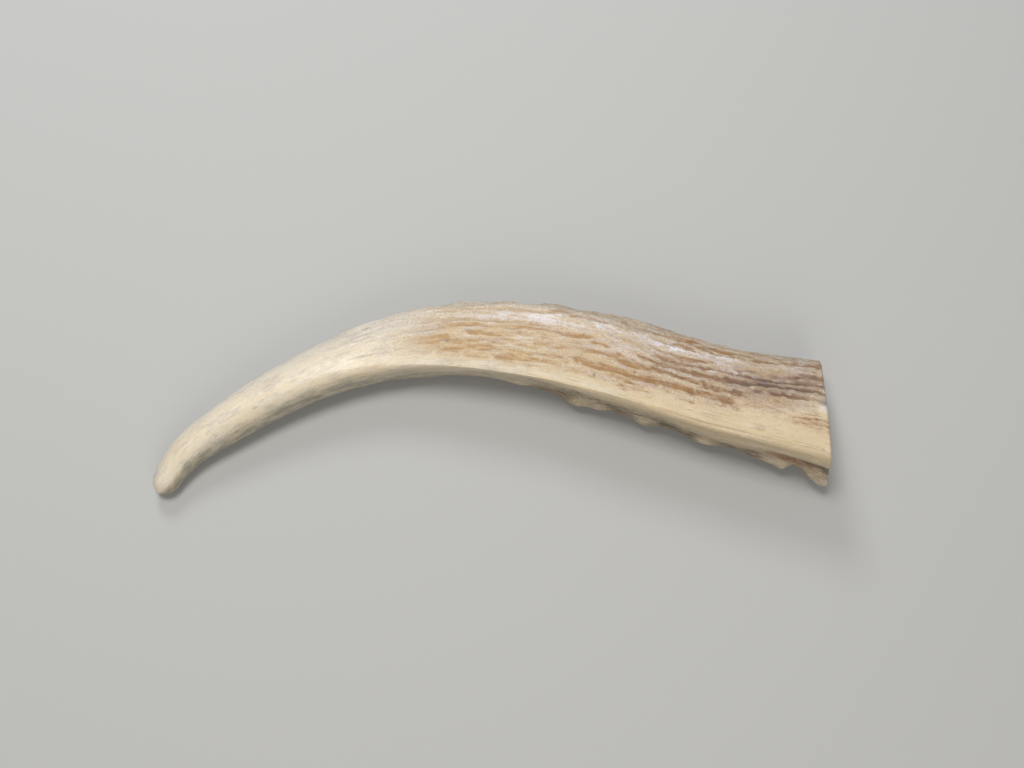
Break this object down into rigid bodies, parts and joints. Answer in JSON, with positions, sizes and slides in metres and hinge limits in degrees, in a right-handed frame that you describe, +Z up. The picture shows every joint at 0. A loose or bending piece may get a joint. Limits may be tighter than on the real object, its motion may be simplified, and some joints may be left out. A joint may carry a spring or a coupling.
{
  "type": "deer antler tine",
  "caption": "Single curved tine sawn from a deer antler, lying on its side: smooth blunt point, ribbed and grooved base, flat saw cut.",
  "frame": {"origin": "middle of the bounding box in plan, on the surface that the tine lies on", "axes": "+X along the tine from its point to the saw cut, +Y towards the outside of its bend, +Z up from the surface it lies on"},
  "size_m": [0.1698, 0.0488, 0.0218],
  "materials": {
    "antler_bone": "satin bone: polished ivory point and inner flank, brown-stained grooves between pale ribs on the rough part"
  },
  "bodies": {
    "root": {"antler_tine": "antler_bone"}
  },
  "joints": []
}
